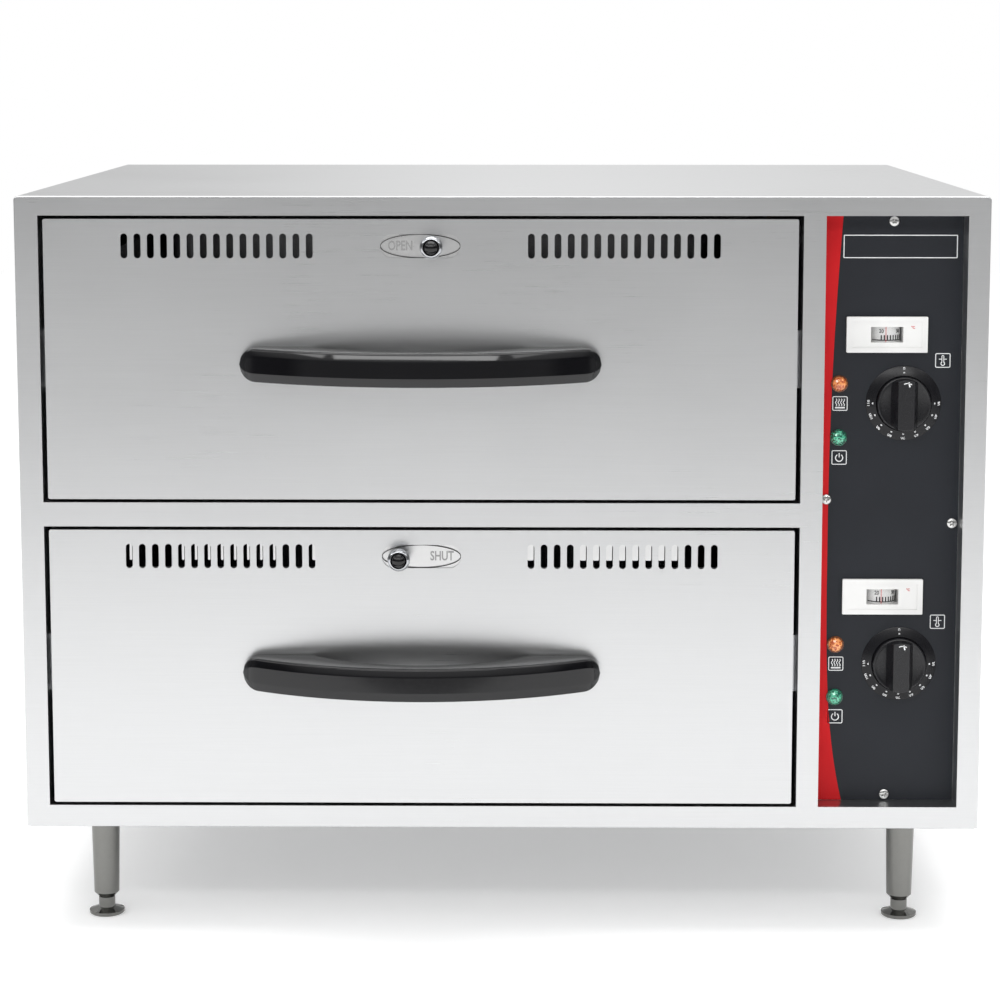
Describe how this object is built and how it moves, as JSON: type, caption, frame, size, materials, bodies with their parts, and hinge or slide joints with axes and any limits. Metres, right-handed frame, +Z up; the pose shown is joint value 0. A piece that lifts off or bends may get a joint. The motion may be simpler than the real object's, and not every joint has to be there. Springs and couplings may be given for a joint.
{
  "type": "countertop warming drawer",
  "caption": "Free-standing food warmer with stacked full-width drawers over warm-air bays, sliding front vents, bow handles, a recessed control column and levelling legs.",
  "frame": {"origin": "on the worktop, at the middle of the outline that the whole object covers", "axes": "+X to the user's right, -Y out of the drawer fronts towards the user, +Z up"},
  "size_m": [0.75, 0.643, 0.586],
  "materials": {
    "brushed_stainless": "horizontal brushed grain",
    "inner_sheet": "plain rolled sheet",
    "pan_steel": "satin drawn sheet",
    "glass_fibre": "matted glass-fibre blanket",
    "chrome": "polished",
    "bright_metal": "bright zinc",
    "slide_steel": "bright rolled",
    "plate_steel": "bright rolled with stamped words",
    "black_gloss": "glossy moulded",
    "overlay_print": "fine texture with a red sweep",
    "dial_metal": "satin with white figures",
    "thermometer_shell": "white moulded",
    "scale_drum": "white with black scale",
    "clear_lens": "clear",
    "amber_lens": "translucent amber",
    "green_lens": "translucent green",
    "element_sheath": "dark oxidised sheath",
    "thermostat_body": "moulded body",
    "steatite": "unglazed",
    "gland_plastic": "moulded"
  },
  "bodies": {
    "cabinet": {"base_pan": "brushed_stainless", "cable_gland": "gland_plastic", "control_panel": "inner_sheet", "dial_rings": "dial_metal", "front_frame": "brushed_stainless", "front_left_leg": "chrome", "front_right_leg": "chrome", "heat_lamps": "amber_lens", "lower_heating_element": "element_sheath", "lower_insulation": "glass_fibre", "lower_liner": "inner_sheet", "lower_slide_outers": "slide_steel", "lower_thermometer_case": "thermometer_shell", "lower_thermostat": "thermostat_body", "outer_wrap": "brushed_stainless", "panel_overlay": "overlay_print", "panel_screws": "bright_metal", "partition": "inner_sheet", "power_lamps": "green_lens", "rear_left_leg": "chrome", "rear_panel": "brushed_stainless", "rear_right_leg": "chrome", "rear_screws": "bright_metal", "terminal_block": "steatite", "thermometer_lenses": "clear_lens", "upper_heating_element": "element_sheath", "upper_insulation": "glass_fibre", "upper_liner": "inner_sheet", "upper_slide_outers": "slide_steel", "upper_thermometer_case": "thermometer_shell", "upper_thermostat": "thermostat_body"},
    "upper_drawer": {"upper_drawer_front": "brushed_stainless", "upper_drawer_carrier": "inner_sheet", "upper_food_pan": "pan_steel", "upper_handle": "black_gloss", "upper_handle_screws": "bright_metal", "upper_slide_inners": "slide_steel"},
    "upper_slide_middle": {"upper_slide_middles": "slide_steel"},
    "upper_vent": {"upper_vent_plate": "plate_steel", "upper_vent_knob": "chrome"},
    "upper_dial": {"upper_knob": "black_gloss", "upper_thermostat_shaft": "bright_metal"},
    "upper_scale": {"upper_thermometer_drum": "scale_drum"},
    "lower_drawer": {"lower_drawer_front": "brushed_stainless", "lower_drawer_carrier": "inner_sheet", "lower_food_pan": "pan_steel", "lower_handle": "black_gloss", "lower_handle_screws": "bright_metal", "lower_slide_inners": "slide_steel"},
    "lower_slide_middle": {"lower_slide_middles": "slide_steel"},
    "lower_vent": {"lower_vent_plate": "plate_steel", "lower_vent_knob": "chrome"},
    "lower_dial": {"lower_knob": "black_gloss", "lower_thermostat_shaft": "bright_metal"},
    "lower_scale": {"lower_thermometer_drum": "scale_drum"},
    "front_left_foot_body": {"front_left_foot": "bright_metal"},
    "front_right_foot_body": {"front_right_foot": "bright_metal"},
    "rear_left_foot_body": {"rear_left_foot": "bright_metal"},
    "rear_right_foot_body": {"rear_right_foot": "bright_metal"}
  },
  "joints": [
    {"name": "upper_drawer_slide", "type": "slide", "parent": "cabinet", "child": "upper_drawer", "axis": [0, -1, 0], "range_m": [0, 0.4]},
    {"name": "upper_slide_run", "type": "slide", "parent": "cabinet", "child": "upper_slide_middle", "axis": [0, -1, 0], "range_m": [0, 0.2]},
    {"name": "upper_vent_slide", "type": "slide", "parent": "upper_drawer", "child": "upper_vent", "axis": [1, 0, 0], "range_m": [-0.0278, 0.0022]},
    {"name": "upper_dial_turn", "type": "hinge", "parent": "cabinet", "child": "upper_dial", "pos_m": [0.3131, -0.2465, 0.4239], "axis": [0, 1, 0], "range_deg": [0, 265]},
    {"name": "upper_scale_turn", "type": "hinge", "parent": "cabinet", "child": "upper_scale", "pos_m": [0.2993, -0.2335, 0.4777], "axis": [0, 0, 1], "range_deg": [-100, 0]},
    {"name": "lower_drawer_slide", "type": "slide", "parent": "cabinet", "child": "lower_drawer", "axis": [0, -1, 0], "range_m": [0, 0.4]},
    {"name": "lower_slide_run", "type": "slide", "parent": "cabinet", "child": "lower_slide_middle", "axis": [0, -1, 0], "range_m": [0, 0.2]},
    {"name": "lower_vent_slide", "type": "slide", "parent": "lower_drawer", "child": "lower_vent", "axis": [1, 0, 0], "range_m": [-0.002, 0.028]},
    {"name": "lower_dial_turn", "type": "hinge", "parent": "cabinet", "child": "lower_dial", "pos_m": [0.3131, -0.2465, 0.2166], "axis": [0, 1, 0], "range_deg": [0, 265]},
    {"name": "lower_scale_turn", "type": "hinge", "parent": "cabinet", "child": "lower_scale", "pos_m": [0.2993, -0.2335, 0.2704], "axis": [0, 0, 1], "range_deg": [-100, 0]},
    {"name": "front_left_foot_turn", "type": "hinge", "parent": "cabinet", "child": "front_left_foot_body", "pos_m": [-0.322, -0.2115, 0.02], "axis": [0, 0, 1], "continuous": true},
    {"name": "front_right_foot_turn", "type": "hinge", "parent": "cabinet", "child": "front_right_foot_body", "pos_m": [0.322, -0.2115, 0.02], "axis": [0, 0, 1], "continuous": true},
    {"name": "rear_left_foot_turn", "type": "hinge", "parent": "cabinet", "child": "rear_left_foot_body", "pos_m": [-0.322, 0.2445, 0.02], "axis": [0, 0, 1], "continuous": true},
    {"name": "rear_right_foot_turn", "type": "hinge", "parent": "cabinet", "child": "rear_right_foot_body", "pos_m": [0.322, 0.2445, 0.02], "axis": [0, 0, 1], "continuous": true}
  ],
  "couplings": [
    {"joint": "upper_slide_run", "follows": "upper_drawer_slide", "ratio": 0.5},
    {"joint": "lower_slide_run", "follows": "lower_drawer_slide", "ratio": 0.5}
  ]
}
